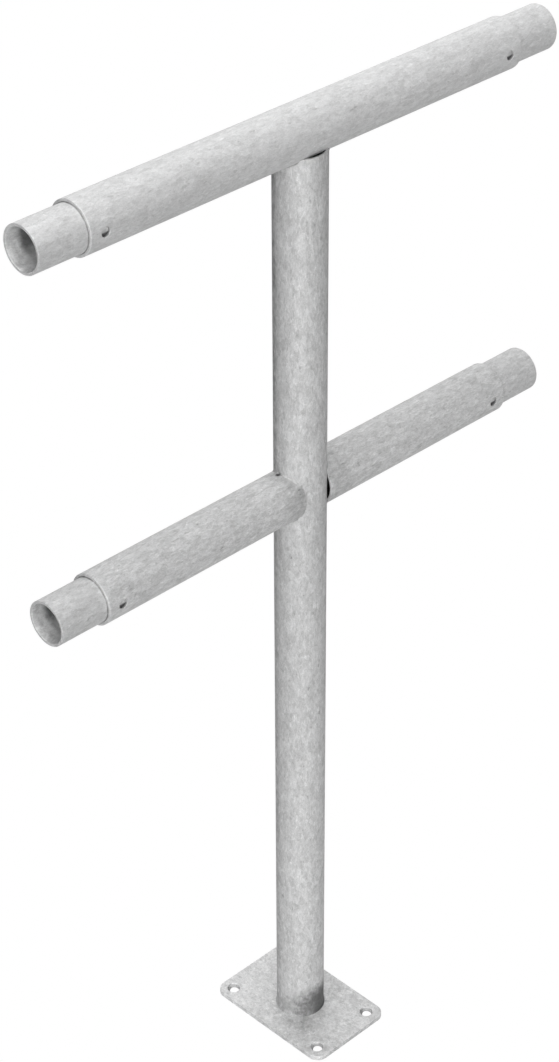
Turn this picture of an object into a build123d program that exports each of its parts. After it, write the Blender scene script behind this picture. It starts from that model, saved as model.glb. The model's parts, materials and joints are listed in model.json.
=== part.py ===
"""Galvanised steel railing post: a tube post on a base plate, with two tubular
rails and a spigot in each rail end.  Millimetres, +Z up.  The origin is the
centre of the base plate's underside and the rails run along X."""

import os
from math import acos, cos, degrees, radians, sqrt

from build123d import *

# ---------------------------------------------------------------- driving sizes
overall_height = 1010.0       # underside of the plate to the crown of the top rail
rail_length = 500.0           # each rail level, tube end to tube end
rail_spacing = 350.0          # top rail axis down to mid rail axis

tube_diameter = 48.3          # post and rails
tube_wall = 2.6

spigot_wall = 2.6
spigot_clearance = 0.35       # radial gap to the next rail, which slides on
spigot_grip = 0.10            # radial gap to its own rail, on the expanded half
spigot_collar = 0.5           # the expanded half stands this far out of the rail
spigot_reach = 50.0           # from the rail's end to the spigot's tip
spigot_insert = 60.0          # length held inside the rail tube

cope_angle = 45.0             # a coped end is cut square beyond this angle of its saddle

plate_width = 100.0           # along X
plate_length = 150.0          # along Y
plate_thickness = 5.0
plate_corner_radius = 12.0
anchor_hole_diameter = 14.0
anchor_edge_distance = 14.0   # hole centre to the nearest two plate edges
drain_hole_diameter = 20.0    # under the post, lets the zinc run out

plug_hole_diameter = 9.0
plug_hole_setback = 15.0      # hole centre to the rail tube's end
plug_weld_throat = 0.4        # weld metal standing above the gap round the spigot

vent_diameter = 3.0
vent_setback = 2.4            # vent centre to the post's wall
vent_offset = 1.5             # vent centre behind the rail's crown line

cope_weld_leg = 1.5
cope_weld_end_angle = 4.0     # the bead stops this much short of the saddle's end
base_weld_leg = 1.5

overcut = 5.0                 # how far cutting tools run past what they cut

# --------------------------------------------------------------- derived places
tube_radius = tube_diameter / 2
tube_bore_radius = tube_radius - tube_wall
spigot_radius = tube_bore_radius - spigot_clearance
held_radius = tube_bore_radius - spigot_grip

top_rail_z = overall_height - tube_radius
mid_rail_z = top_rail_z - rail_spacing
rail_end = rail_length / 2
cope_trim = tube_radius * cos(radians(cope_angle))

anchor_spacing_x = plate_width - 2 * anchor_edge_distance
anchor_spacing_y = plate_length - 2 * anchor_edge_distance

RAILS = {"top": top_rail_z, "mid": mid_rail_z}


# ------------------------------------------------------------------------ tools
# The post is the same on both sides, so each piece beside it is made on the
# left, where X is below zero, and mirrored.
def rod(radius, start, end):
    """Solid round bar between two points."""
    direction = Vector(*end) - Vector(*start)
    plane = Plane(origin=start, z_dir=direction)
    return Solid.make_cylinder(radius, direction.length, plane)


def tube(radius, wall, start, end):
    """Round tube between two points."""
    return rod(radius, start, end) - rod(radius - wall, start, end)


def plug_drill(rail_z):
    """Bar through the front wall of the left rail end, on the plug hole's axis."""
    x = plug_hole_setback - rail_end
    return rod(plug_hole_diameter / 2, (x, -tube_radius - overcut, rail_z), (x, 0, rail_z))


def vent_drill():
    """Bar through the crown of the left mid rail, close to the post."""
    x = -tube_radius - vent_setback
    low = (x, vent_offset, mid_rail_z + tube_bore_radius - overcut)
    high = (x, vent_offset, mid_rail_z + tube_radius + cope_weld_leg + overcut)
    return rod(vent_diameter / 2, low, high)


def post_blank():
    """Solid bar of the post's outer size, from the plate to the crown."""
    return rod(tube_radius, (0, 0, plate_thickness), (0, 0, overall_height))


def top_rail_blank():
    """Solid bar of the top rail's outer size."""
    return rod(tube_radius, (-rail_end, 0, top_rail_z), (rail_end, 0, top_rail_z))


def mid_rail_blank():
    """Solid bar of the left mid rail's outer size, out from the post's axis."""
    return rod(tube_radius, (0, 0, mid_rail_z), (-rail_end, 0, mid_rail_z))


# ------------------------------------------------------------------- the pieces
def base_plate():
    """Flat plate with rounded corners, four anchor holes and a drain hole."""
    outline = RectangleRounded(plate_width, plate_length, plate_corner_radius)
    anchor = Circle(anchor_hole_diameter / 2)
    anchors = GridLocations(anchor_spacing_x, anchor_spacing_y, 2, 2) * anchor
    drain = Circle(drain_hole_diameter / 2)
    return extrude(outline - anchors - drain, plate_thickness)


def base_weld():
    """Ring bead in the corner between the post and the plate, a quarter round."""
    corner = Plane(origin=(0, 0, plate_thickness))
    ring = Solid.make_torus(tube_radius, base_weld_leg, corner)
    above = Solid.make_cylinder(tube_radius + base_weld_leg + overcut, base_weld_leg + overcut, corner)
    return (ring & above) - post_blank()


def post_tube():
    """Upright tube: its top end saddles the top rail, then is cut square."""
    foot = (0, 0, plate_thickness)
    head = (0, 0, top_rail_z - cope_trim)
    return tube(tube_radius, tube_wall, foot, head) - top_rail_blank()


def top_rail_tube():
    """One straight tube over the post, with a plug hole near each end."""
    drill = plug_drill(top_rail_z)
    rail = tube(tube_radius, tube_wall, (-rail_end, 0, top_rail_z), (rail_end, 0, top_rail_z))
    return rail - drill - mirror(drill, about=Plane.YZ)


def mid_rail_tube():
    """Half a rail: its inner end saddles the post, then is cut square."""
    rail = tube(tube_radius, tube_wall, (-cope_trim, 0, mid_rail_z), (-rail_end, 0, mid_rail_z))
    return rail - post_blank() - plug_drill(mid_rail_z) - vent_drill()


def spigot(rail_z):
    """Sleeve tube in a rail end: the held half is expanded to sit tight."""
    inner = (spigot_insert - rail_end, 0, rail_z)
    collar = (-rail_end - spigot_collar, 0, rail_z)
    outer = (-rail_end - spigot_reach, 0, rail_z)
    bore = rod(spigot_radius - spigot_wall, inner, outer)
    return rod(held_radius, inner, collar) + rod(spigot_radius, collar, outer) - bore


def plug_weld(rail_z):
    """Weld metal in the bottom of a plug hole, from the spigot's wall outwards."""
    inner = (spigot_insert - rail_end, 0, rail_z)
    outer = (-rail_end, 0, rail_z)
    height = spigot_grip + plug_weld_throat
    return tube(held_radius + height, height, inner, outer) & plug_drill(rail_z)


def cope_weld(centre, along_run, along_branch, branch_blank, run_blank):
    """Rounded fillet bead in the saddle between two tubes of one size.

    The saddle is an arc of an ellipse in the plane halfway between the two
    tubes' directions, so the bead is a bar along that arc, less both tubes.
    """
    half_angle = degrees(acos(cope_trim / tube_radius)) - cope_weld_end_angle
    outward = Vector(*along_run) + Vector(*along_branch)
    saddle = Plane(origin=centre, x_dir=outward, z_dir=outward.cross(Vector(0, 1, 0)))
    path = Edge.make_ellipse(
        tube_radius * sqrt(2),
        tube_radius,
        plane=saddle,
        start_angle=360 - half_angle,
        end_angle=half_angle,
    )
    start = Plane(origin=path @ 0, z_dir=path % 0)
    bead = sweep(start * Circle(cope_weld_leg), path)
    return bead - branch_blank - run_blank


def top_rail_weld():
    """Bead between the head of the post and the top rail."""
    return cope_weld((0, 0, top_rail_z), (-1, 0, 0), (0, 0, -1), post_blank(), top_rail_blank())


def mid_weld(upward):
    """Bead between the post and the left mid rail, over or under the rail."""
    bead = cope_weld((0, 0, mid_rail_z), (0, 0, upward), (-1, 0, 0), mid_rail_blank(), post_blank())
    return bead - vent_drill()


# -------------------------------------------------------------------- the nodes
def build():
    """All pieces by name."""
    nodes = {
        "base_plate": base_plate(),
        "base_weld": base_weld(),
        "post_tube": post_tube(),
        "top_rail_tube": top_rail_tube(),
    }
    handed = {
        "mid_{}_rail_tube": mid_rail_tube(),
        "mid_{}_upper_weld": mid_weld(1),
        "mid_{}_lower_weld": mid_weld(-1),
        "top_{}_rail_weld": top_rail_weld(),
    }
    for level, rail_z in RAILS.items():
        handed[level + "_{}_spigot"] = spigot(rail_z)
        handed[level + "_{}_plug_weld"] = plug_weld(rail_z)
    for name, piece in handed.items():
        nodes[name.format("left")] = piece
        nodes[name.format("right")] = mirror(piece, about=Plane.YZ)
    return nodes


os.makedirs("parts", exist_ok=True)
for node_name, shape in build().items():
    export_step(shape, f"parts/{node_name}.step")
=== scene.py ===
import json
from math import cos, pi, radians, sin

import bmesh
import bpy
import numpy as np
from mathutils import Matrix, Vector


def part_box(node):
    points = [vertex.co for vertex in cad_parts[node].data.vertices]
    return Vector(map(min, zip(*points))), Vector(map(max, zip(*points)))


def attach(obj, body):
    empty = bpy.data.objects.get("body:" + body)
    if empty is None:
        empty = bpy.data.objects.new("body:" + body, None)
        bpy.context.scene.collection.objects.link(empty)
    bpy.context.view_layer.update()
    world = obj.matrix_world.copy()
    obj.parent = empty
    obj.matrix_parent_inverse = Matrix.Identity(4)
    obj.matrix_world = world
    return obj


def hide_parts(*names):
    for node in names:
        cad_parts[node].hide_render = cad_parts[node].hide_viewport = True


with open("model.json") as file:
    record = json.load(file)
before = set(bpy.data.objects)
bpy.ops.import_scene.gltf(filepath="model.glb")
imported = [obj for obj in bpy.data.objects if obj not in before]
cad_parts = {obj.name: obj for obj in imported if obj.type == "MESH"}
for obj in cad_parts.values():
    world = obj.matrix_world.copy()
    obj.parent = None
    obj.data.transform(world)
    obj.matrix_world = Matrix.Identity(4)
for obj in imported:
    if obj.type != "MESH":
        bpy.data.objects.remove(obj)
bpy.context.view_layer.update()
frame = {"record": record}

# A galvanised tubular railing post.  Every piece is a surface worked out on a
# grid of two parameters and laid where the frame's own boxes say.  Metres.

mm = 0.001

# ------------------------------------------------------------ sizes in the frame


def mount(name):
    """The record's mount of that name."""
    return next(m for m in frame["record"]["mounts"] if m["name"] == name)


def middle(node, axis):
    """Middle of a node's box along one axis."""
    low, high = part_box(node)
    return (low[axis] + high[axis]) / 2


def half(node, axis):
    """Half the size of a node's box along one axis."""
    low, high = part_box(node)
    return (high[axis] - low[axis]) / 2


X, Y, Z = 0, 1, 2

tube_radius = half("post_tube", X)
tube_wall = 2.6 * mm
bore_radius = tube_radius - tube_wall
held_radius = half("top_left_spigot", Y)
spigot_radius = mount("top_left_spigot_end")["dims"]["r_mm"] * mm
spigot_bore = spigot_radius - tube_wall

rail_height = {level: mount(f"{level}_left_spigot_end")["pos_m"][Z] for level in ("top", "mid")}
rail_end = half("top_rail_tube", X)
spigot_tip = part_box("top_right_spigot")[1][X]
spigot_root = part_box("top_right_spigot")[0][X]
spigot_collar = rail_end + 0.5 * mm
cope_zinc = 0.9 * mm   # how far zinc draws a saddle's square ends in
cope_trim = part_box("mid_right_rail_tube")[0][X] - cope_zinc

plate_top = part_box("base_plate")[1][Z]
plate_half = (half("base_plate", X), half("base_plate", Y))
plate_corner = 12 * mm
anchor = mount("base_anchor_holes")["dims"]
anchor_radius = anchor["hole_r_mm"] * mm
anchor_at = (anchor["spacing_x_mm"] * mm / 2, anchor["spacing_y_mm"] * mm / 2)
drain_radius = 10 * mm
plate_softness = 0.6 * mm

plug_radius = half("top_left_plug_weld", X)
plug_at = abs(middle("top_left_plug_weld", X))
plug_height = 0.25 * mm
plug_softness = 0.25 * mm
vent_radius = 1.5 * mm
vent_softness = 0.15 * mm
vent_at = tube_radius + 2.4 * mm
vent_offset = 1.5 * mm

cope_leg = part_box("mid_right_lower_weld")[1][X] - tube_radius
foot_leg = half("base_weld", X) - tube_radius

# ------------------------------------------------------------------ mesh making

merge_distance = 2e-6
brightest_painted_light = -0.5   # the least share allowed: below 0 is painted light, brightening the zinc


class Skin:
    """Points and faces of one closed surface, gathered sheet by sheet."""

    def __init__(self):
        self.points = []
        self.faces = []
        self.count = 0

    def add(self, xyz):
        """Adds points of any grid shape and gives their numbers in that shape."""
        flat = xyz.reshape(-1, 3)
        index = self.count + np.arange(len(flat)).reshape(xyz.shape[:-1])
        self.points.append(flat)
        self.count += len(flat)
        return index

    def quads(self, index, keep=None):
        """Quads over a grid of point numbers, where keep allows them."""
        corners = (index[:-1, :-1], index[:-1, 1:], index[1:, 1:], index[1:, :-1])
        quads = np.stack(corners, axis=-1)
        self.faces.append(quads.reshape(-1, 4) if keep is None else quads[keep])

    def sheet(self, xyz):
        """Adds a grid of points and the quads between its rows and columns."""
        self.quads(self.add(xyz))

    def fan(self, loop, tip):
        """Triangles from a closed loop of points to one more point, its pole."""
        index = self.add(np.vstack([loop, tip]))
        ring = index[:-1]
        pole = np.full(len(ring), index[-1])
        self.faces.append(np.stack([ring, np.roll(ring, -1), pole], axis=-1))

    def pydata(self):
        """The points the faces use, and the faces numbered to match."""
        used, number = np.unique(np.concatenate([f.ravel() for f in self.faces]), return_inverse=True)
        ends = np.cumsum([f.size for f in self.faces])[:-1]
        faces = []
        for part, face in zip(np.split(number, ends), self.faces):
            faces += part.reshape(face.shape).tolist()
        return np.concatenate(self.points)[used], faces

    def piece(self, name, node, material, slot, painted_light_and_tone=None):
        """Makes the closed mesh object that stands for a CAD node.

        The last argument gives each point's share of darkening, 0 to 1, or of
        brightening where it is negative: painted shade and painted light, and on
        the welds a faint even darker tone.
        """
        mesh = bpy.data.meshes.new(name)
        points, faces = self.pydata()
        mesh.from_pydata(points, [], faces)
        work = bmesh.new()
        work.from_mesh(mesh)
        bmesh.ops.remove_doubles(work, verts=work.verts, dist=merge_distance)
        bmesh.ops.recalc_face_normals(work, faces=work.faces)
        work.to_mesh(mesh)
        work.free()
        mesh.shade_smooth()
        mesh.materials.append(material)
        if painted_light_and_tone:
            xyz = np.empty(3 * len(mesh.vertices))
            mesh.vertices.foreach_get("co", xyz)
            # Painted shade and painted light as a point attribute, with the welds' faint darker tone.
            layer = mesh.attributes.new("painted_light_and_tone", "FLOAT", "POINT")
            layer.data.foreach_set("value", np.clip(painted_light_and_tone(*xyz.reshape(-1, 3).T), brightest_painted_light, 1))
        obj = bpy.data.objects.new(name, mesh)
        bpy.context.scene.collection.objects.link(obj)
        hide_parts(node)
        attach(obj, "root")
        return obj


def closed(ring):
    """A loop of points with its first point again at the end."""
    return np.concatenate([ring, ring[:1]])


def block_loop(block):
    """Row and column numbers once round a block of grid cells, in order."""
    r0, r1, c0, c1 = block
    rows = np.concatenate([
        np.full(c1 - c0, r0), np.arange(r0, r1), np.full(c1 - c0, r1), np.arange(r1, r0, -1)])
    columns = np.concatenate([
        np.arange(c0, c1), np.full(r1 - r0, c1), np.arange(c1, c0, -1), np.full(r1 - r0, c0)])
    return rows, columns


def holed_sheet(skin, chart, holes, place, rings=5):
    """A sheet with round holes in it.

    chart is a grid of chart coordinates, (rows, columns, 2).  Each hole takes
    out a block of cells, and rings of quads lead from the block's edge to the
    hole's edge: each ring is the blend (1 - t) * edge + t * circle, with t
    bunched towards the circle.  place turns chart coordinates into points, and
    the angles go round the same way whether the rows climb or descend.
    Gives the loop of chart angles used round each hole.
    """
    rows, columns = chart.shape[:2]
    keep = np.ones((rows - 1, columns - 1), bool)
    loops = []
    for block, circle in holes:
        r0, r1, c0, c1 = block
        keep[r0:r1, c0:c1] = False
        edge_rows, edge_columns = block_loop(block)
        edge = chart[edge_rows, edge_columns]
        across = (edge_columns - (c0 + c1) / 2) / (c1 - c0)
        along = (edge_rows - (r0 + r1) / 2) / (r1 - r0)
        upwards = np.sign(chart[r1, c0, 1] - chart[r0, c0, 1])
        angle = np.arctan2(upwards * along, across)
        hole_edge = circle(angle)
        t = 1 - (1 - np.linspace(0, 1, rings + 1)) ** 1.5
        blend = (1 - t)[:, None, None] * closed(edge)[None] + t[:, None, None] * closed(hole_edge)[None]
        skin.sheet(place(blend))
        loops.append(angle)
    skin.quads(skin.add(place(chart)), keep)
    return loops


def fade(value, start, stop):
    """A smooth step from 0 at start to 1 at stop, either way round."""
    t = np.clip((value - start) / (stop - start), 0, 1)
    return t * t * (3 - 2 * t)


# ------------------------------------------------------------------------ tubes
# A tube's chart is (angle from the front, distance along the axis).  The angle
# runs from -Y through +Z on a rail, and from -Y through +X on the post.

columns_round = 160
column_step = 2 * pi / columns_round
softness = 0.35 * mm   # how far the zinc rounds a cut edge
arc = np.linspace(0, pi / 2, 5)


def on_rail(height):
    """Turns (radius, angle, distance) into points of a tube along X."""
    def place(r, a, v):
        return np.stack([v + 0 * a, -r * np.cos(a), height + r * np.sin(a)], axis=-1)
    return place


def on_post(r, a, v):
    """Turns (radius, angle, distance) into points of a tube along Z."""
    return np.stack([r * np.sin(a), -r * np.cos(a), v + 0 * a], axis=-1)


def cope(r, a):
    """Distance from the other tube's axis to a saddled end, at radius r.

    The saddle is the root of R^2 - y^2 with y = -r cos(a), and the end is cut
    square where that would be nearer than the trim.
    """
    y = r * np.cos(a)
    return np.maximum(cope_trim, np.sqrt(np.maximum(tube_radius**2 - y**2, 0)))


def rim(skin, place, outer, inner, angles, end, inwards):
    """A tube's end face with rounded edges, from the outer skin to the bore.

    The profile is a quarter circle from each skin to the flat face; end(r, a)
    is where the face lies and inwards points from the face into the tube.
    """
    radius = np.concatenate([
        outer - softness * (1 - np.cos(arc)),
        inner + softness * (1 - np.cos(arc[::-1]))])
    depth = softness * (1 - np.sin(np.concatenate([arc, arc[::-1]])))
    r = radius[:, None]
    a = angles[None, :]
    skin.sheet(place(r, a, end(r, a) + inwards * depth[:, None]))


def drilled(radius, centre, rho):
    """Chart points where a round drill of radius rho meets a tube of that radius.

    centre is (angle, sideways shift, distance along): the drill's sideways
    reach w becomes the angle asin(w / radius).
    """
    angle0, shift, along = centre

    def circle(phi):
        a = angle0 + np.arcsin((shift + rho * np.cos(phi)) / radius)
        return np.stack([a, along + rho * np.sin(phi)], axis=-1)
    return circle


def drill_wall(skin, place, outer, inner, centre, rho, phi, soft):
    """The wall of a drilled hole, rounded over into the skin and the bore."""
    step_rho = np.concatenate([rho + soft * (1 - np.sin(arc)), rho + soft * (1 - np.sin(arc[::-1]))])
    step_r = np.concatenate([outer - soft * (1 - np.cos(arc)), inner + soft * (1 - np.cos(arc[::-1]))])
    loops = []
    for hole_radius, skin_radius in zip(step_rho, step_r):
        chart = closed(drilled(skin_radius, centre, hole_radius)(phi))
        loops.append(place(skin_radius, chart[:, 0], chart[:, 1]))
    skin.sheet(np.stack(loops))


def tube_skin(place, rows_at, first, last, way, drills, first_angle):
    """A whole tube: skin, bore, two rims and the drilled holes through its wall.

    rows_at(r, a) gives the rows' distances for each column, which grow along
    way from the first end to the last.  drills are (block, centre, radius,
    softness), and first_angle is where the seam is.
    """
    skin = Skin()
    angles = first_angle + column_step * np.arange(columns_round + 1)
    for r in (tube_radius, bore_radius):
        along = rows_at(r, angles)
        chart = np.stack([np.broadcast_to(angles, along.shape), along], axis=-1)
        holes = [
            (block, drilled(r, centre, rho + soft)) for block, centre, rho, soft in drills]
        loops = holed_sheet(skin, chart, holes, lambda c, r=r: place(r, c[..., 0], c[..., 1]))
    for (block, centre, rho, soft), phi in zip(drills, loops):
        drill_wall(skin, place, tube_radius, bore_radius, centre, rho, phi, soft)
    rim(skin, place, tube_radius, bore_radius, angles, first, way)
    rim(skin, place, tube_radius, bore_radius, angles, last, -way)
    return skin


plug_cells = 8   # half the width of a plug hole's block of cells, in columns
plug_block_half = 7.6 * mm
end_pitch = 1.6 * mm
long_pitch = 6 * mm
saddle_reach = 40 * mm   # how far a saddle bends the rows of its tube


def rows_between(start, stop, pitch):
    """Evenly spaced distances at about that pitch, both ends counted."""
    return np.linspace(start, stop, max(2, int(round(abs(stop - start) / pitch)) + 1))


def straight_rows(rows, a):
    """Rows square across the tube: the same distances in every column."""
    return np.broadcast_to(rows[:, None], (len(rows), len(a)))


def plug_rows():
    """Rows across a plug hole's block, and the rows from it to the rail's end.

    Gives the block's first row, all the rows after it, and how many of them
    lie past the block.
    """
    block = np.linspace(-plug_block_half, plug_block_half, 2 * plug_cells + 1) + plug_at
    tail = rows_between(plug_at + plug_block_half, rail_end - softness, end_pitch)
    return block[0], np.concatenate([block[1:], tail[1:]]), len(tail) - 1


def flat_end(distance):
    """A square-cut end at that distance."""
    return lambda r, a: distance + 0 * (r + a)


def plug_drill(rows_before, sign):
    """Block, centre, radius and softness of a plug hole at the tube's front."""
    block = (rows_before, rows_before + 2 * plug_cells, 0, 2 * plug_cells)
    return block, (0.0, 0.0, sign * plug_at), plug_radius, plug_softness


def rail_painted_shade(level):
    """Painted shade on a rail: in its plug holes, in its bore, and on the mid rail by the joint.

    On a plug hole's wall it darkens with depth and towards the bottom.  The
    mid rail also has painted shade round its vent, and a faint painted shade
    that grows towards the post.
    """
    saddled = level == "mid"

    def painted_light_and_tone(x, y, z):
        up = z - rail_height[level]
        depth = tube_radius - np.hypot(y, up)
        near_plug = np.abs(np.abs(x) - plug_at) < plug_radius + 0.6 * mm
        # Painted shade down a plug hole's wall, darker with depth and towards the bottom.
        plug = fade(up, 2.0 * mm, -2.5 * mm) * near_plug * (y < 0) * fade(depth, 0.1 * mm, 0.7 * mm)
        # Painted shade in the bore.
        inside = 0.6 * fade(depth, tube_wall - 0.4 * mm, tube_wall)
        from_vent = np.hypot(np.abs(x) - vent_at, y - vent_offset)
        # Painted shade round the vent on the mid rail.
        vent = saddled * fade(from_vent, 3.2 * mm, 1.7 * mm) * (up > 0)
        # Faint painted shade near the joint with the post.
        joint = saddled * 0.22 * fade(np.abs(x), tube_radius + 26 * mm, tube_radius + 2 * mm)
        return np.maximum.reduce([plug, vent, inside, joint])
    return painted_light_and_tone


def top_rail(material):
    """The through rail: square ends, a plug hole near each."""
    start, outer, tail_rows = plug_rows()
    span = rows_between(-start, start, long_pitch)
    rows = np.concatenate([-outer[::-1], span, outer])
    drills = [plug_drill(tail_rows, -1), plug_drill(len(outer) + len(span) - 1, 1)]
    skin = tube_skin(
        on_rail(rail_height["top"]), lambda r, a: straight_rows(rows, a),
        flat_end(-rail_end), flat_end(rail_end), 1, drills, -plug_cells * column_step)
    skin.piece("top_rail_skin", "top_rail_tube", material, "galvanised_tube", rail_painted_shade("top"))


def mid_rail(side, sign, material):
    """Half a rail: a saddled inner end with its vent, a square outer end.

    The rows near the saddle are the blend of a plain ring and the saddle's own
    curve, so the cells follow the cope: a row at share s of the way to the
    ring lies at cope + s * (ring - cope).
    """
    ring = tube_radius + saddle_reach
    shares = np.array([0.0, 0.03, 0.1, 0.2, 0.3, 0.45, 0.6, 0.8])
    start, outer, _ = plug_rows()
    span = rows_between(ring, start, long_pitch)
    far = np.concatenate([span, outer])

    def rows_at(r, a):
        saddle = cope(r, a) + softness
        near = saddle[None, :] + shares[:, None] * (ring - saddle[None, :])
        return sign * np.concatenate([near, straight_rows(far, a)])

    top_column = columns_round // 4 + plug_cells
    vent_block = (0, 5, top_column - 2, top_column + 5)
    vent_centre = (pi / 2, vent_offset, sign * vent_at)
    drills = [
        plug_drill(len(shares) + len(span) - 1, sign),
        (vent_block, vent_centre, vent_radius, vent_softness)]
    skin = tube_skin(
        on_rail(rail_height["mid"]), rows_at, lambda r, a: sign * cope(r, a),
        flat_end(sign * rail_end), sign, drills, -plug_cells * column_step)
    skin.piece(
        f"mid_{side}_rail_skin", f"mid_{side}_rail_tube", material, "galvanised_tube", rail_painted_shade("mid"))


def painted_shade_lee(x, y):
    """0 on the side of the foot where the painted shade is darkest, 1 on the far side."""
    painted_shade_way = radians(-70)
    return (1 - np.cos(np.arctan2(y, x) - painted_shade_way)) / 2


def post(material):
    """The upright: square on the plate, saddled under the top rail.

    Its last rows are the blend ring + s * (cope - ring) at shares s, so the
    cells follow the saddle.
    """
    axis = rail_height["top"]
    ring = axis - tube_radius - saddle_reach
    shares = np.array([0.2, 0.4, 0.55, 0.7, 0.8, 0.9, 0.97, 1.0])
    foot = plate_top + 40 * mm
    straight = np.concatenate([
        rows_between(plate_top + softness, foot, 1.5 * mm)[:-1], rows_between(foot, ring, long_pitch)])

    def rows_at(r, a):
        saddle = axis - cope(r, a) - softness
        near = ring + shares[:, None] * (saddle - ring)[None, :]
        return np.concatenate([straight_rows(straight, a), near])

    skin = tube_skin(
        on_post, rows_at, flat_end(plate_top), lambda r, a: axis - cope(r, a), 1, [], 0.0)

    def painted_light_and_tone(x, y, z):
        """Painted shade: a ragged band at the foot, a dark edge down one side and the bore."""
        lee = painted_shade_lee(x, y)
        # Painted shade round the foot, darkest on one side.
        band_top = plate_top + (43 - 16 * lee) * mm
        band = fade(z, band_top, band_top - 22 * mm) * (0.1 + 0.9 * (1 - lee) ** 1.6)
        # Painted shade down the post's side towards -X, +Y, stronger above the mid rail.
        from_edge_shade = (np.arctan2(y, x) - radians(153)) / radians(15)
        edge_shade = np.exp(-(from_edge_shade**2)) * np.where(z > rail_height["mid"], 0.45, 0.25)
        # Painted shade in the bore.
        inside = 0.3 * fade(np.hypot(x, y), bore_radius + 0.4 * mm, bore_radius)
        return np.maximum.reduce([band, edge_shade, inside])

    skin.piece("post_skin", "post_tube", material, "galvanised_tube", painted_light_and_tone)


def spigot(level, side, sign, material):
    """A sleeve tube turned about its axis from one closed profile.

    The profile is the held half, a soft step at the collar, the bare half, a
    rounded tip and the bore.  The bore is lumpy with zinc near the mouth: its
    radius loses lump * (1 + sin(5a + 420x) * sin(3a - 260x + 1)) at the angle
    a and the distance x.
    """
    tip = spigot_tip
    lump = 0.2 * mm
    lumps_end = tip - 32 * mm
    shoulder = tip - softness - 1 * mm
    outside = [
        (held_radius, spigot_root),
        (held_radius, rail_end - 4 * mm),
        (held_radius, spigot_collar - 0.1 * mm),
        (spigot_radius, spigot_collar),
        (spigot_radius, spigot_collar + 1 * mm)]
    outside += [(spigot_radius, x) for x in rows_between(spigot_collar + 2 * mm, shoulder, 4 * mm)]
    nose = [(spigot_radius - softness * (1 - cos(t)), tip - softness * (1 - sin(t))) for t in arc]
    lip = [(spigot_bore + softness * (1 - cos(t)), tip - softness * (1 - sin(t))) for t in arc[::-1]]
    bore = [(spigot_bore, x) for x in rows_between(shoulder, lumps_end, 1.2 * mm)]
    bore += [(spigot_bore, x) for x in rows_between(lumps_end, spigot_root, 5 * mm)[1:]]
    profile = np.array(outside + nose + lip + bore + outside[:1])
    r = profile[:, :1]
    x = profile[:, 1:]
    a = column_step * np.arange(columns_round + 1)[None, :]
    share = fade(x, tip - softness, tip - 4 * mm) * fade(x, lumps_end, lumps_end + 8 * mm)
    share *= r < spigot_bore + merge_distance
    lumpy = lump * share * (1 + np.sin(5 * a + 420 * x) * np.sin(3 * a - 260 * x + 1))
    skin = Skin()
    skin.sheet(on_rail(rail_height[level])(r - lumpy, a, sign * x))

    def painted_light_and_tone(x, y, z):
        """Painted shade where the spigot leaves its rail and deep in the mouth, painted light near its
        lip.
        """
        up = z - rail_height[level]
        # Painted shade deep in the mouth, darker towards its top, and painted light in its shallow part.
        inside = fade(np.hypot(y, up), spigot_bore + 0.5 * mm, spigot_bore + 0.05 * mm)
        deep = fade(np.abs(x), tip - 10 * mm, tip - 19 * mm) * (0.25 + 0.75 * fade(up, -17 * mm, -7 * mm))
        # Painted shadow in the gap where the spigot leaves its rail.
        seat = fade(np.abs(x), rail_end + 1.2 * mm, rail_end + 0.4 * mm)
        return np.where(seat > 0, 0.8 * seat, inside * (1.22 * deep - 0.22))

    skin.piece(
        f"{level}_{side}_spigot_skin", f"{level}_{side}_spigot", material, "galvanised_tube", painted_light_and_tone)


# -------------------------------------------------------------------- the plate


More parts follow.
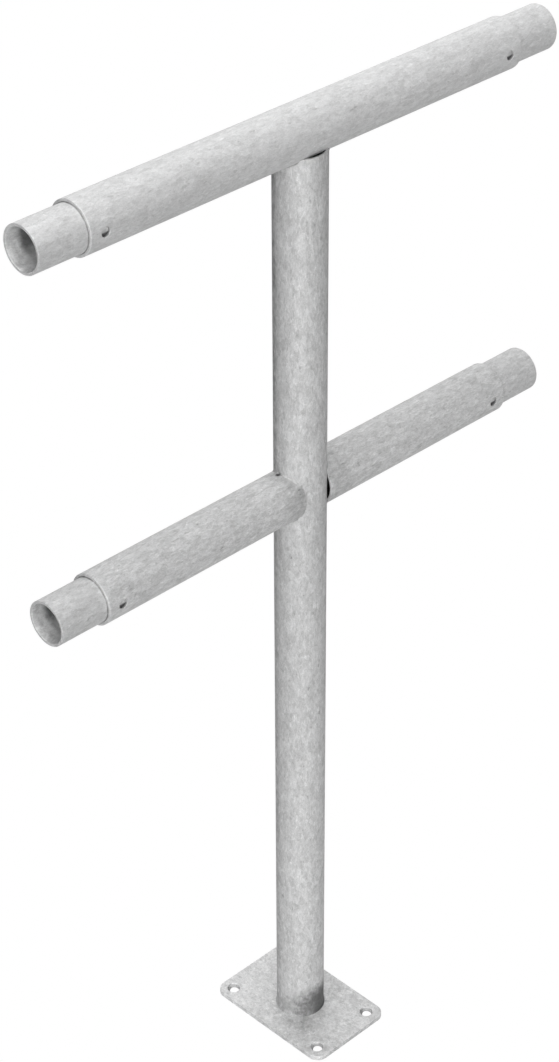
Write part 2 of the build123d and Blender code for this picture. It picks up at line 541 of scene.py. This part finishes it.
def plate(material):
    """The base plate: two holed sheets, a rounded outline and five hole walls.

    Zinc has run in the anchor holes.  At the angle a from the way it ran, the
    radius is r - drift * (1 - cos a) - sag * (0.3 + 0.7 * cos(a)^1.5), and the
    sag grows from nothing at the top face to its full depth at the floor.

    The outline's corners are quarter circles: a point at share s of the corner
    length goes to the angle 45 degrees * s from the side it lies on.
    """
    skin = Skin()
    soft = plate_softness
    run_way = radians(140)
    inner = (2 * anchor_at[0] - plate_half[0], 2 * anchor_at[1] - plate_half[1])
    core = inner[0]
    x_cuts = [-plate_half[0], -inner[0], inner[0], plate_half[0]]
    y_cuts = [-plate_half[1], -inner[1], -core, core, inner[1], plate_half[1]]
    x_cells = [14, 16, 14]
    y_cells = [14, 10, 16, 10, 14]

    def lines(cuts, cells):
        parts = [np.linspace(a, b, n, endpoint=False) for a, b, n in zip(cuts, cuts[1:], cells)]
        return np.concatenate(parts + [np.array([cuts[-1]])])

    xs = lines(x_cuts, x_cells)
    ys = lines(y_cuts, y_cells)
    grid = np.stack(np.meshgrid(xs, ys), axis=-1)
    edge_rows, edge_columns = block_loop((0, len(ys) - 1, 0, len(xs) - 1))
    square = grid[edge_rows, edge_columns]

    def outline(inset):
        sign = np.sign(square)
        flat = np.abs(square)
        centre = np.array(plate_half) - plate_corner
        over = (flat - centre) / plate_corner
        corner = np.all(over > 1e-9, axis=1)
        on_x_side = flat[:, 0] > plate_half[0] - 1e-9
        angle = np.where(on_x_side, over[:, 1] * pi / 4, pi / 2 - over[:, 0] * pi / 4)
        bent = centre + (plate_corner - inset) * np.stack([np.cos(angle), np.sin(angle)], axis=-1)
        pulled = np.minimum(flat, np.array(plate_half) - inset)
        return sign * np.where(corner[:, None], bent, pulled)

    nx = np.cumsum([0] + x_cells)
    ny = np.cumsum([0] + y_cells)
    spots = []
    for i, sx in ((0, -1), (2, 1)):
        for j, sy in ((0, -1), (4, 1)):
            block = (ny[j], ny[j + 1], nx[i], nx[i + 1])
            spots.append((block, (sx * anchor_at[0], sy * anchor_at[1]), anchor_radius))
    spots.append(((ny[2], ny[3], nx[1], nx[2]), (0.0, 0.0), drain_radius))

    def circle(centre, radius, z):
        drift = 0.75 * mm * (centre[0] != 0)
        sag = 2.4 * mm * fade(z, plate_top - soft, 0.0) * (centre[0] != 0)

        def round_hole(phi):
            lean = np.cos(phi - run_way)
            r = radius - drift * (1 - lean) - sag * (0.3 + 0.7 * np.maximum(0, lean) ** 1.5)
            return np.stack([centre[0] + r * np.cos(phi), centre[1] + r * np.sin(phi)], axis=-1)
        return round_hole

    def at_height(points, z):
        return np.concatenate([points, np.full(points.shape[:-1] + (1,), z)], axis=-1)

    grid[edge_rows, edge_columns] = outline(soft)
    for z in (0.0, plate_top):
        holes = [(block, circle(centre, radius + soft, z)) for block, centre, radius in spots]
        loops = holed_sheet(skin, grid, holes, lambda points, z=z: at_height(points, z))
    insets = np.concatenate([soft * (1 - np.sin(arc)), soft * (1 - np.sin(arc[::-1]))])
    heights = np.concatenate([soft * (1 - np.cos(arc)), plate_top - soft * (1 - np.cos(arc[::-1]))])
    steps = list(zip(insets, heights))
    skin.sheet(np.stack([at_height(closed(outline(inset)), z) for inset, z in steps]))
    for (block, centre, radius), phi in zip(spots, loops):
        wall = [at_height(closed(circle(centre, radius + inset, z)(phi)), z) for inset, z in steps]
        skin.sheet(np.stack(wall))

    def painted_light_and_tone(x, y, z):
        """Painted shade: a shadow patch before the post, a shadow band beside it, shade on the anchor
        holes' walls, and faint shade over the front and on the front edge.
        """
        # Painted shadow in front of the post.
        patch = fade(np.hypot(x + 23 * mm, y + 23 * mm), 27 * mm, 4 * mm) * (z > plate_top / 2)
        # Painted shadow in a diagonal band beside the post.
        band = np.exp(-(((x - y - 44 * mm) / (9 * mm)) ** 2)) * (x > 10 * mm)
        # Painted shade on one side of each anchor hole's wall.
        across = np.abs(x) - anchor_at[0]
        along = np.abs(y) - anchor_at[1]
        wall = np.hypot(across, along) < anchor_radius + 0.3 * mm
        turn = np.arctan2(along * np.sign(y), across * np.sign(x))
        side = fade(np.cos(turn - run_way), 0.3, 0.9)
        # Painted shade over the plate's front half and on its front edge.
        front_edge = y < -plate_half[1] + 0.05 * mm
        shade = 0.15 * fade(y, 50 * mm, 15 * mm) + 0.15 * front_edge
        return np.maximum.reduce([0.42 * patch, 0.20 * band, 0.5 * wall * side, shade])

    skin.piece("base_plate_skin", "base_plate", material, "galvanised_plate", painted_light_and_tone)


# -------------------------------------------------------------------- the welds

ripple_pitch = 1.7 * mm
ripple_height = 0.07 * mm


def bead_section(leg, run, seed, crowning):
    """Distance of a fillet bead's surface from its root, over (run, spread).

    The base is the straight line between the toes, leg / (cos + sin), raised
    by the crowning, or hollowed where that is negative.  Crescent ripples run
    along it, and its width wanders by a sum of four slow sines.
    """
    spread = np.linspace(0, pi / 2, 13)[None, :]
    crown = np.sin(2 * spread)
    rng = np.random.default_rng(seed)
    phase = rng.uniform(0, 2 * pi, 4)
    wander = sum(np.sin(run * k / mm + p) for k, p in zip((0.21, 0.47, 0.83, 1.31), phase)) / 4
    ripples = np.sin(2 * pi * (run[:, None] / ripple_pitch - 0.55 * crown) + wander[:, None])
    width = (1 + 0.06 * wander[:, None]) * leg[:, None]
    base = width * (1 + crowning * crown) / (np.cos(spread) + np.sin(spread))
    return spread, base + ripple_height * ripples * crown * (leg[:, None] / leg.max())


def saddle_bead(name, node, centre, run_way, branch_way, notch, material, seed):
    """A bead in the saddle between two equal tubes.

    Its root is the ellipse arc centre + R cos(t) (run + branch) + R sin(t) Y,
    and both toes lie on the tubes, straight along them from the root.  A notch
    thins the branch toe where the vent is.
    """
    reach = radians(42)
    count = 181
    t = np.linspace(-reach, reach, count)
    run_way = np.array(run_way, float)
    branch_way = np.array(branch_way, float)
    root = (
        np.array(centre) + tube_radius * np.cos(t)[:, None] * (run_way + branch_way)
        + tube_radius * np.sin(t)[:, None] * np.array([0.0, 1.0, 0.0]))
    step = np.linalg.norm(np.diff(root, axis=0), axis=1)
    run = np.concatenate([[0.0], np.cumsum(step)])
    end = np.minimum(run, run[-1] - run) / (2.2 * cope_leg)
    leg = cope_leg * np.sqrt(np.clip(1 - (1 - np.clip(end, 0, 1)) ** 2, 0, 1))
    spread, rho = bead_section(leg, run, seed, 0.1)
    branch_scale = np.ones(count)
    if notch:
        y = tube_radius * np.sin(t)
        branch_scale -= 0.72 * np.exp(-(((y - vent_offset) / (1.5 * vent_radius)) ** 4))
    points = (
        root[:, None, :]
        + (rho * np.cos(spread))[..., None] * run_way
        + (rho * np.sin(spread) * branch_scale[:, None])[..., None] * branch_way)
    sections = np.concatenate([root[:, None, :], points, root[:, None, :]], axis=1)[1:-1]
    skin = Skin()
    skin.sheet(sections)
    skin.fan(sections[0, :-1], root[:1])
    skin.fan(sections[-1, :-1], root[-1:])

    def painted_light_and_tone(x, y, z):
        """A faint even share, and painted shade round the vent."""
        from_vent = np.hypot(np.abs(x) - vent_at, y - vent_offset)
        return np.maximum(0.25, notch * fade(from_vent, 3 * mm, 1.5 * mm))

    skin.piece(name, node, material, "galvanised_weld", painted_light_and_tone)


def foot_bead(material):
    """The ring bead at the post's foot: the same section carried round.

    Over the last few steps it is blended into its own start, so it closes.
    """
    count = 400
    blend_steps = 12
    a = np.linspace(0, 2 * pi, count + 1)
    run = a * round(2 * pi * tube_radius / ripple_pitch) * ripple_pitch / (2 * pi)
    leg = np.full(count + 1, 0.7 * foot_leg)
    spread, rho = bead_section(leg, run, 11, -0.25)
    blend_start = a[-blend_steps]
    close = np.clip((a - blend_start) / (a[-1] - blend_start), 0, 1)[:, None]
    rho = rho * (1 - close) + rho[:1] * close
    root = np.zeros((count + 1, 1))
    r = tube_radius + np.hstack([root, rho * np.cos(spread), root])
    z = plate_top + np.hstack([root, rho * np.sin(spread), root])
    skin = Skin()
    skin.sheet(on_post(r, a[:, None], z))

    def painted_light_and_tone(x, y, z):
        """Painted shade: the same share as the band on the post above it."""
        return 0.05 + 0.95 * (1 - painted_shade_lee(x, y)) ** 1.6

    skin.piece("base_weld_bead", "base_weld", material, "galvanised_weld", painted_light_and_tone)


def plug_bead(level, side, sign, material):
    """Weld metal in a plug hole: a low dome on the spigot, over (ring, angle).

    At share s of the radius its height is h * (1 - s^2 / 4), less or more by a
    shallow swirl.
    """
    place = on_rail(rail_height[level])
    phi = np.linspace(0, 2 * pi, 49)
    share = np.linspace(0, 1, 9)[1:]
    edge = plug_radius - 0.02 * mm

    def disc(radius_at):
        loops = []
        for s in share:
            r = radius_at(s, phi)
            chart = drilled(r, (0.0, 0.0, sign * plug_at), edge * s)(phi)
            loops.append(place(r, chart[:, 0], chart[:, 1]))
        return np.stack(loops)

    def face(s, angle):
        swirl = 0.05 * mm * np.sin(14 * s + angle) * (1 - s)
        return held_radius + plug_height * (1 - s**2 / 4) + swirl

    top = disc(face)
    under = disc(lambda s, angle: np.full(len(angle), held_radius))
    skin = Skin()
    skin.sheet(top)
    skin.sheet(under)
    skin.sheet(np.stack([top[-1], under[-1]]))
    for part, r in ((top, held_radius + plug_height), (under, held_radius)):
        pole = place(np.array([r]), np.array([0.0]), np.array([sign * plug_at]))
        skin.fan(part[0, :-1], pole)

    def painted_light_and_tone(x, y, z):
        """Painted shade, darker towards the bottom of the hole."""
        return fade(z - rail_height[level], -0.4 * mm, -2.2 * mm)

    skin.piece(
        f"{level}_{side}_plug_bead", f"{level}_{side}_plug_weld", material, "galvanised_weld", painted_light_and_tone)


# -------------------------------------------------------------------- materials


def node(tree, kind, inputs=None, **settings):
    """Adds a shader node, with its settings and its inputs' values or links."""
    made = tree.nodes.new(kind)
    for key, value in settings.items():
        setattr(made, key, value)
    for key, value in (inputs or {}).items():
        if isinstance(value, bpy.types.NodeSocket):
            tree.links.new(value, made.inputs[key])
        else:
            made.inputs[key].default_value = value
    return made


def ramp(tree, value, low, high):
    """A smooth step from 0 at low to 1 at high."""
    return node(
        tree, "ShaderNodeMapRange", {"Value": value, "From Min": low, "From Max": high},
        interpolation_type="SMOOTHSTEP").outputs["Result"]


def maths(tree, operation, a, b, c=0.0):
    """One math node on two or three values."""
    return node(tree, "ShaderNodeMath", {0: a, 1: b, 2: c}, operation=operation).outputs[0]


def noise(tree, vector, scale, detail=2.0, rough=0.5, distortion=0.0):
    """Noise about 0.5 at that many features per metre."""
    return node(
        tree, "ShaderNodeTexNoise",
        {"Vector": vector, "Scale": scale, "Detail": detail, "Roughness": rough, "Distortion": distortion},
    ).outputs["Fac"]


def zinc_group():
    """Dull hot-dip zinc: cloudy tone, long pale and dark flecks, pits and lumps.

    Vector is the plain place and Stretched the place drawn out along the
    flecks.  Puts out a tone about 1, a roughness about 0.6 and a height in
    metres.
    """
    group = bpy.data.node_groups.new("Zinc skin", "ShaderNodeTree")
    face = group.interface
    face.new_socket("Vector", in_out="INPUT", socket_type="NodeSocketVector")
    face.new_socket("Stretched", in_out="INPUT", socket_type="NodeSocketVector")
    face.new_socket("Contrast", in_out="INPUT", socket_type="NodeSocketFloat").default_value = 1.0
    face.new_socket("Lumps", in_out="INPUT", socket_type="NodeSocketFloat").default_value = 1.0
    for name in ("Tone", "Roughness", "Height"):
        face.new_socket(name, in_out="OUTPUT", socket_type="NodeSocketFloat")
    source = node(group, "NodeGroupInput")
    vector = source.outputs["Vector"]
    long = source.outputs["Stretched"]
    clouds = noise(group, vector, 16.0, 2.0, 0.55)
    patches = noise(group, long, 200.0, 3.0, 0.62, 0.6)
    flecks = noise(group, long, 460.0, 2.0, 0.6, 0.9)
    flakes = node(
        group, "ShaderNodeTexVoronoi", {"Vector": long, "Scale": 230.0, "Randomness": 1.0},
        feature="F1")
    flake_tone = node(group, "ShaderNodeSeparateColor", {0: flakes.outputs["Color"]}).outputs[0]
    grain = noise(group, vector, 1100.0, 2.0, 0.65)
    shares = ((clouds, 0.12), (patches, 0.36), (flecks, 0.72), (flake_tone, 0.14), (grain, 0.50))
    tone = 0.0
    for part, amount in shares:
        tone = maths(group, "MULTIPLY_ADD", maths(group, "SUBTRACT", part, 0.5), amount, tone)
    scars = ramp(group, flecks, 0.66, 0.74)
    tone = maths(group, "MULTIPLY_ADD", scars, 0.10, tone)
    pits = ramp(group, noise(group, long, 300.0, 1.5, 0.6), 0.67, 0.75)
    tone = maths(group, "MULTIPLY_ADD", pits, -0.22, tone)
    tone = maths(group, "MULTIPLY_ADD", tone, source.outputs["Contrast"], 1.0)
    rough = maths(group, "MULTIPLY_ADD", patches, 0.30, 0.40)
    rough = maths(group, "MULTIPLY_ADD", grain, 0.10, rough)
    height = maths(group, "MULTIPLY", patches, 0.36 * mm)
    height = maths(group, "MULTIPLY_ADD", flecks, 0.18 * mm, height)
    height = maths(group, "MULTIPLY_ADD", grain, 0.02 * mm, height)
    height = maths(group, "MULTIPLY_ADD", pits, -0.08 * mm, height)
    height = maths(group, "MULTIPLY", height, source.outputs["Lumps"])
    node(group, "NodeGroupOutput", {"Tone": tone, "Roughness": rough, "Height": height})
    return group


def ragged_light_and_tone_group():
    """Breaks up a share of painted shade and painted light (and on welds their faint darker tone) into a
    ragged mask.

    The mask is share + 1.5 * (noise - 0.5) * 4 * share * (1 - share), held
    between -0.6 and 1, so it is ragged at half shares and whole at 0 and 1.
    """
    group = bpy.data.node_groups.new("Ragged painted light and tone", "ShaderNodeTree")
    face = group.interface
    face.new_socket("Vector", in_out="INPUT", socket_type="NodeSocketVector")
    face.new_socket("Share", in_out="INPUT", socket_type="NodeSocketFloat")
    face.new_socket("Mask", in_out="OUTPUT", socket_type="NodeSocketFloat")
    source = node(group, "NodeGroupInput")
    share = source.outputs["Share"]
    ragged = noise(group, source.outputs["Vector"], 150.0, 4.0, 0.6)
    swing = maths(group, "MULTIPLY", maths(group, "SUBTRACT", ragged, 0.5), 1.5)
    rest = maths(group, "SUBTRACT", 1.0, share)
    edge = maths(group, "MULTIPLY", rest, maths(group, "MULTIPLY", share, 4.0))
    mask = maths(group, "MULTIPLY_ADD", swing, edge, share)
    mask = maths(group, "MAXIMUM", mask, -0.6)
    node(group, "NodeGroupOutput", {"Mask": maths(group, "MINIMUM", mask, 1.0)})
    return group


def zinc(name, groups, shade, along, contrast=1.0, lumps=1.0, ragged_light_and_tone=0.7):
    """Galvanised steel: its shade, the way its flecks run, and how strongly its ragged mask darkens or
    brightens it.

    The colour is shade * tone * (1 - strength * mask), a very little bluer than
    grey.  The mask is painted shade and painted light, and on welds a faint
    even darker tone.
    """
    material = bpy.data.materials.new(name)
    material.use_nodes = True
    tree = material.node_tree
    tree.nodes.clear()
    place = node(tree, "ShaderNodeTexCoord").outputs["Object"]
    stretch = node(tree, "ShaderNodeMapping", {"Vector": place, "Scale": along}, vector_type="POINT")
    skin = node(tree, "ShaderNodeGroup", node_tree=groups["zinc"])
    tree.links.new(place, skin.inputs["Vector"])
    tree.links.new(stretch.outputs[0], skin.inputs["Stretched"])
    skin.inputs["Contrast"].default_value = contrast
    skin.inputs["Lumps"].default_value = lumps
    # Painted shade and painted light from the point attribute, with the welds' faint darker tone.
    share = node(tree, "ShaderNodeAttribute", attribute_name="painted_light_and_tone").outputs["Fac"]
    mask = node(tree, "ShaderNodeGroup", node_tree=groups["ragged_light_and_tone"])
    tree.links.new(place, mask.inputs["Vector"])
    tree.links.new(share, mask.inputs["Share"])
    # 1 less the painted shade, above 1 where painted light brightens.
    light_and_tone_factor = maths(tree, "MULTIPLY_ADD", mask.outputs["Mask"], -ragged_light_and_tone, 1.0)
    tone = maths(tree, "MULTIPLY", skin.outputs["Tone"], light_and_tone_factor)
    grey = (shade, shade * 1.002, shade * 1.004)
    colour = node(tree, "ShaderNodeVectorMath", {0: grey, "Scale": tone}, operation="SCALE")
    bump = node(
        tree, "ShaderNodeBump", {"Strength": 1.0, "Distance": 1.0, "Height": skin.outputs["Height"]})
    shader = node(tree, "ShaderNodeBsdfPrincipled", {
        "Base Color": colour.outputs[0],
        "Metallic": 0.5,
        "Roughness": skin.outputs["Roughness"],
        "Normal": bump.outputs[0]})
    node(tree, "ShaderNodeOutputMaterial", {"Surface": shader.outputs[0]})
    return material


# ------------------------------------------------------------------------ stage


def floor():
    """A wide pale floor: white to the eye; to reflections and bounced light a grey with a painted pool of
    light, brighter round the post.

    The pool's tone falls with distance d from the post as
    far_tone + pool_tone / (1 + (d / pool_reach)^2).
    """
    size = 14.0
    level = -0.05 * mm   # just clear of the plate's underside
    far_tone = 0.275
    pool_tone = 0.34
    pool_reach = 0.8
    mesh = bpy.data.meshes.new("floor")
    corners = [(-size, -size, level), (size, -size, level), (size, size, level), (-size, size, level)]
    mesh.from_pydata(corners, [], [(0, 1, 2, 3)])
    material = bpy.data.materials.new("Pale floor")
    material.use_nodes = True
    tree = material.node_tree
    tree.nodes.clear()
    place = node(tree, "ShaderNodeTexCoord").outputs["Object"]
    away = node(tree, "ShaderNodeVectorMath", {0: place}, operation="LENGTH").outputs["Value"]
    squared = maths(tree, "POWER", maths(tree, "DIVIDE", away, pool_reach), 2.0)
    # Painted light: the floor is brighter to other rays near the post, lighting undersides from below.
    pool = maths(tree, "DIVIDE", pool_tone, maths(tree, "ADD", squared, 1.0))
    pool = maths(tree, "ADD", pool, far_tone)
    grey = node(tree, "ShaderNodeCombineColor", {0: pool, 1: pool, 2: pool})
    dull = node(tree, "ShaderNodeBsdfDiffuse", {"Color": grey.outputs[0]})
    white = node(tree, "ShaderNodeEmission", {"Color": (1, 1, 1, 1), "Strength": 1.0})
    seen = node(tree, "ShaderNodeLightPath").outputs["Is Camera Ray"]
    both = node(tree, "ShaderNodeMixShader", {0: seen, 1: dull.outputs[0], 2: white.outputs[0]})
    node(tree, "ShaderNodeOutputMaterial", {"Surface": both.outputs[0]})
    mesh.materials.append(material)
    obj = bpy.data.objects.new("floor", mesh)
    bpy.context.scene.collection.objects.link(obj)


def toward(azimuth, elevation):
    """The unit direction at those angles, in degrees."""
    a, e = radians(azimuth), radians(elevation)
    return Vector((cos(e) * cos(a), cos(e) * sin(a), sin(e)))


def overhead(distance, reach, power):
    """A round soft light straight above the object, at that distance from its middle."""
    data = bpy.data.lights.new("overhead", "AREA")
    data.shape = "DISK"
    data.size = 2 * reach
    data.energy = power
    obj = bpy.data.objects.new("overhead", data)
    middle_height = 0.5
    obj.location = (0, 0, middle_height + distance)
    bpy.context.scene.collection.objects.link(obj)


def sky(lobes):
    """Soft white light: the sum of strength * cos(angle from the lobe)^10."""
    world = bpy.data.worlds.new("Studio")
    bpy.context.scene.world = world
    world.use_nodes = True
    tree = world.node_tree
    tree.nodes.clear()
    way = node(tree, "ShaderNodeTexCoord").outputs["Generated"]
    level = 0.0
    for azimuth, elevation, strength in lobes:
        axis = tuple(toward(azimuth, elevation))
        dot = node(tree, "ShaderNodeVectorMath", {0: way, 1: axis}, operation="DOT_PRODUCT")
        near = maths(tree, "MAXIMUM", dot.outputs["Value"], 0.0)
        lobe = maths(tree, "POWER", near, 10.0)
        level = maths(tree, "MULTIPLY_ADD", lobe, strength, level)
    light = node(tree, "ShaderNodeBackground", {"Color": (1, 1, 1, 1)})
    tree.links.new(level, light.inputs["Strength"])
    white = node(tree, "ShaderNodeBackground", {"Color": (1, 1, 1, 1)})
    seen = node(tree, "ShaderNodeLightPath").outputs["Is Camera Ray"]
    both = node(tree, "ShaderNodeMixShader", {0: seen, 1: light.outputs[0], 2: white.outputs[0]})
    node(tree, "ShaderNodeOutputWorld", {"Surface": both.outputs[0]})


def camera():
    """Looks at the object's middle along a cube's diagonal, from its front left."""
    data = bpy.data.cameras.new("camera")
    data.lens = 90.51
    data.sensor_width = 36.0
    data.shift_x = -0.0200
    data.shift_y = 0.0722
    obj = bpy.data.objects.new("camera", data)
    distance = 2.4811
    way = Vector((-1.0, -1.0, 1.0)).normalized()
    target = Vector((0.0, -0.0007, 0.503))
    obj.location = target + distance * way
    obj.rotation_euler = (-way).to_track_quat("-Z", "Y").to_euler()
    bpy.context.scene.collection.objects.link(obj)
    bpy.context.scene.camera = obj


# --------------------------------------------------------------------- assembly


def build():
    """Every piece, then the stage."""
    groups = {"zinc": zinc_group(), "ragged_light_and_tone": ragged_light_and_tone_group()}
    along_x = (0.42, 1.0, 1.0)
    along_y = (1.0, 0.8, 1.0)
    along_z = (1.0, 1.0, 0.42)
    even = (1.0, 1.0, 1.0)
    # The top rail and top spigots are painted lighter, the mid rail and mid spigots darker: painted light
    # and shade on copies of one zinc.
    lighter_top_zinc = zinc("Zinc on top rail painted lighter", groups, 0.64, along_x, contrast=0.75, lumps=0.9)
    darker_mid_zinc = zinc("Zinc on mid rail painted darker", groups, 0.62, along_x, contrast=1.05, lumps=1.1)
    darker_mid_spigot_zinc = zinc("Zinc on mid spigots painted darker", groups, 0.60, along_x, contrast=0.9)
    post_zinc = zinc("Zinc on post", groups, 0.59, along_z, contrast=1.1, lumps=1.4, ragged_light_and_tone=0.76)
    plate_zinc = zinc("Zinc on plate", groups, 0.70, along_y)
    weld_zinc = zinc("Zinc on weld", groups, 0.58, even, lumps=0.5, ragged_light_and_tone=0.8)
    top_rail(lighter_top_zinc)
    post(post_zinc)
    plate(plate_zinc)
    foot_bead(weld_zinc)
    mid = (0.0, 0.0, rail_height["mid"])
    top = (0.0, 0.0, rail_height["top"])
    for side, sign in (("left", -1), ("right", 1)):
        mid_rail(side, sign, darker_mid_zinc)
        saddle_bead(
            f"top_{side}_rail_bead", f"top_{side}_rail_weld", top, (sign, 0, 0), (0, 0, -1),
            False, weld_zinc, 5 + sign)
        for name, up, seed in (("upper", 1, 21), ("lower", -1, 31)):
            saddle_bead(
                f"mid_{side}_{name}_bead", f"mid_{side}_{name}_weld", mid, (0, 0, up), (sign, 0, 0),
                up > 0, weld_zinc, seed + sign)
        for level, finish in (("top", lighter_top_zinc), ("mid", darker_mid_spigot_zinc)):
            spigot(level, side, sign, finish)
            plug_bead(level, side, sign, weld_zinc)
    floor()
    sky([(225, 8, 6.3), (45, 8, 2.4), (45, 60, 0.7), (180, 60, 1.7), (270, 40, 1.0)])
    overhead(12.0, 1.9, 605.0)
    camera()
    bpy.context.scene.view_settings.view_transform = "Standard"


build()
